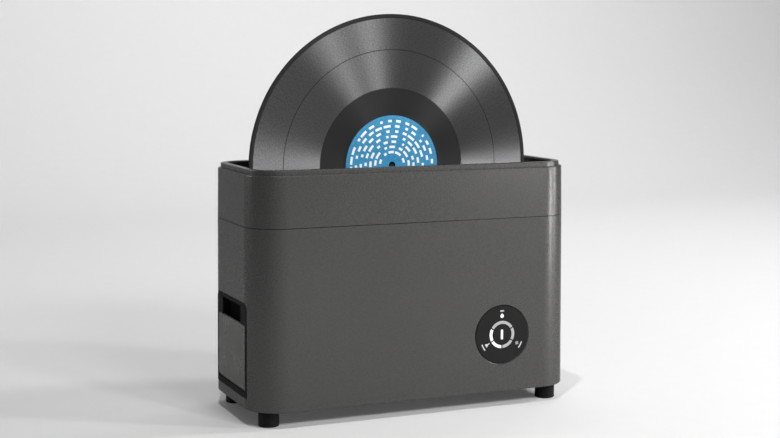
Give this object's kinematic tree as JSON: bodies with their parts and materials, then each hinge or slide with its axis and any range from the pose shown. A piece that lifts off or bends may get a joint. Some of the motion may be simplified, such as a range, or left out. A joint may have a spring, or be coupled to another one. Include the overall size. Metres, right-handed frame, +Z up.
{
  "type": "record cleaning machine",
  "caption": "Upright ultrasonic record cleaning machine with a vinyl disc standing in its top slot, a round control disc and a pull-out water tank.",
  "frame": {"origin": "on the surface under the feet, at the middle of the case", "axes": "+Z up, -Y the front with the control disc, -X the side with the water tank"},
  "size_m": [0.341, 0.147, 0.3914],
  "materials": {
    "case_paint": "satin metallic grey, fine grain",
    "pan_black": "black powder coat",
    "foot_rubber": "matte black",
    "screw_steel": "zinc plated",
    "mouth_black": "fine moulded grain",
    "gasket_rubber": "matte",
    "basin_plastic": "smooth",
    "duct_black": "moulded",
    "motor_steel": "zinc plated",
    "wheel_grey": "moulded",
    "horn_aluminium": "turned",
    "piezo_ceramic": "sintered with silver faces",
    "bar_steel": "ground",
    "bush_brass": "turned",
    "roller_white": "moulded acetal",
    "tyre_rubber": "soft",
    "pump_black": "moulded",
    "hose_clear": "silicone",
    "coil_copper": "taped winding",
    "bay_black": "fine moulded grain",
    "tank_clear": "smoked",
    "tank_black": "fine moulded grain",
    "tank_grey": "smooth satin",
    "port_rubber": "silicone",
    "filter_felt": "non-woven felt",
    "cup_black": "moulded",
    "lamp_white": "frosted light guide",
    "key_black": "soft touch",
    "board_green": "solder mask",
    "jack_black": "moulded",
    "vinyl": "grooved",
    "label_paper": null
  },
  "bodies": {
    "case": {"lower_shell": "case_paint", "upper_shell": "case_paint", "base_plate": "pan_black", "foot_front_left": "foot_rubber", "foot_front_right": "foot_rubber", "foot_back_left": "foot_rubber", "foot_back_right": "foot_rubber", "foot_screws": "screw_steel", "base_screws": "screw_steel", "slot_funnel": "mouth_black", "record_guides": "mouth_black", "basin_gasket": "gasket_rubber", "basin": "basin_plastic", "nozzle_front": "duct_black", "nozzle_back": "duct_black", "blower_front": "duct_black", "blower_back": "duct_black", "blower_motors": "motor_steel", "transducer_fronts": "horn_aluminium", "transducer_rings": "piezo_ceramic", "transducer_tails": "bar_steel", "roller_bushings": "bush_brass", "drive_motor": "motor_steel", "motor_bracket": "motor_steel", "pump_body": "pump_black", "pump_motor": "motor_steel", "suction_hose": "hose_clear", "basin_hoses": "hose_clear", "return_hose": "hose_clear", "valve_body": "pump_black", "valve_coil": "coil_copper", "tank_bay": "bay_black", "panel_cup": "cup_black", "light_ring": "lamp_white", "panel_board": "board_green", "circuit_boards": "board_green", "dc_inlet": "jack_black"},
    "record": {"record_disc": "vinyl", "record_labels": "label_paper"},
    "drive": {"drive_roller": "roller_white", "drive_tyre": "tyre_rubber", "drive_shaft": "bar_steel", "spur_gear": "roller_white"},
    "idle": {"idle_roller": "roller_white", "idle_tyre": "tyre_rubber", "idle_shaft": "bar_steel"},
    "motor_shaft": {"pinion": "bush_brass"},
    "fan_front": {"impeller_front": "wheel_grey"},
    "fan_back": {"impeller_back": "wheel_grey"},
    "pump_wheel": {"pump_rotor": "wheel_grey"},
    "valve": {"valve_plunger": "bar_steel"},
    "power": {"power_button": "key_black", "power_mark": "lamp_white"},
    "keys": {"key_ring": "key_black", "key_icons": "lamp_white"},
    "tank": {"tank_body": "tank_clear", "tank_front": "tank_black", "tank_panel": "tank_grey", "tank_ports": "port_rubber", "tank_filter": "filter_felt"}
  },
  "joints": [
    {"name": "record_spin", "type": "hinge", "parent": "case", "child": "record", "pos_m": [0, 0, 0.2406], "axis": [0, 1, 0], "continuous": true},
    {"name": "drive_spin", "type": "hinge", "parent": "case", "child": "drive", "pos_m": [0.10291, 0, 0.11796], "axis": [0, 1, 0], "continuous": true},
    {"name": "idle_spin", "type": "hinge", "parent": "case", "child": "idle", "pos_m": [-0.10291, 0, 0.11796], "axis": [0, 1, 0], "continuous": true},
    {"name": "motor_spin", "type": "hinge", "parent": "case", "child": "motor_shaft", "pos_m": [0.10916, 0, 0.09463], "axis": [0, 1, 0], "continuous": true},
    {"name": "fan_front_spin", "type": "hinge", "parent": "case", "child": "fan_front", "pos_m": [-0.08, 0, 0.161], "axis": [0, 1, 0], "continuous": true},
    {"name": "fan_back_spin", "type": "hinge", "parent": "case", "child": "fan_back", "pos_m": [0.03, 0, 0.161], "axis": [0, 1, 0], "continuous": true},
    {"name": "pump_spin", "type": "hinge", "parent": "case", "child": "pump_wheel", "pos_m": [-0.036, 0, 0.044], "axis": [0, 1, 0], "continuous": true},
    {"name": "valve_slide", "type": "slide", "parent": "case", "child": "valve", "axis": [0, 0, 1], "range_m": [-0.003, 0], "stiffness_N_per_m": 300, "springref_m": 0.001},
    {"name": "power_press", "type": "slide", "parent": "case", "child": "power", "axis": [0, 1, 0], "range_m": [0, 0.0008], "stiffness_N_per_m": 1500},
    {"name": "keys_press", "type": "slide", "parent": "case", "child": "keys", "axis": [0, 1, 0], "range_m": [0, 0.0006], "stiffness_N_per_m": 2500},
    {"name": "tank_slide", "type": "slide", "parent": "case", "child": "tank", "axis": [-1, 0, 0], "range_m": [0, 0.11]}
  ],
  "couplings": [
    {"joint": "drive_spin", "follows": "record_spin", "ratio": -16.756},
    {"joint": "idle_spin", "follows": "record_spin", "ratio": -16.756},
    {"joint": "motor_spin", "follows": "record_spin", "ratio": 33.511}
  ]
}
